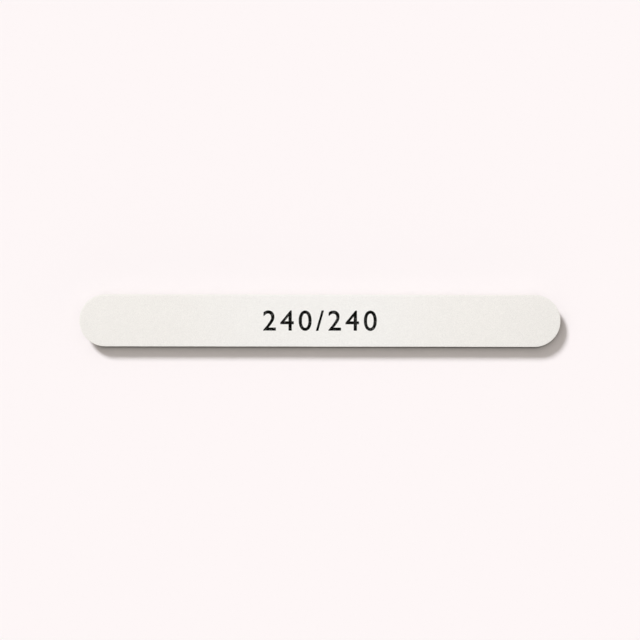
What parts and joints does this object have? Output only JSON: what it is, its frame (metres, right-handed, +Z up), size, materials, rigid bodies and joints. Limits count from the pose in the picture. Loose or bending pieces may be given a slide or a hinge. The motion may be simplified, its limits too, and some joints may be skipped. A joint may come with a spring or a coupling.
{
  "type": "nail file",
  "caption": "Straight cushioned nail file with full-round ends: a stiff plastic core between foam pads, faced above and below with fine white abrasive paper.",
  "frame": {"origin": "middle of the lower face, on the surface that the file rests on", "axes": "+X along the length, +Y across the width, +Z up out of the upper face"},
  "size_m": [0.178, 0.0192, 0.004],
  "materials": {
    "core_plastic": "satin",
    "adhesive_tape": "satin",
    "foam": "matte",
    "backing_paper": "matte",
    "abrasive_coat": "matte"
  },
  "bodies": {
    "root": {"core_strip": "core_plastic", "upper_core_tape": "adhesive_tape", "upper_foam_pad": "foam", "upper_paper_tape": "adhesive_tape", "upper_paper_backing": "backing_paper", "upper_abrasive_coat": "abrasive_coat", "lower_core_tape": "adhesive_tape", "lower_foam_pad": "foam", "lower_paper_tape": "adhesive_tape", "lower_paper_backing": "backing_paper", "lower_abrasive_coat": "abrasive_coat"}
  },
  "joints": []
}
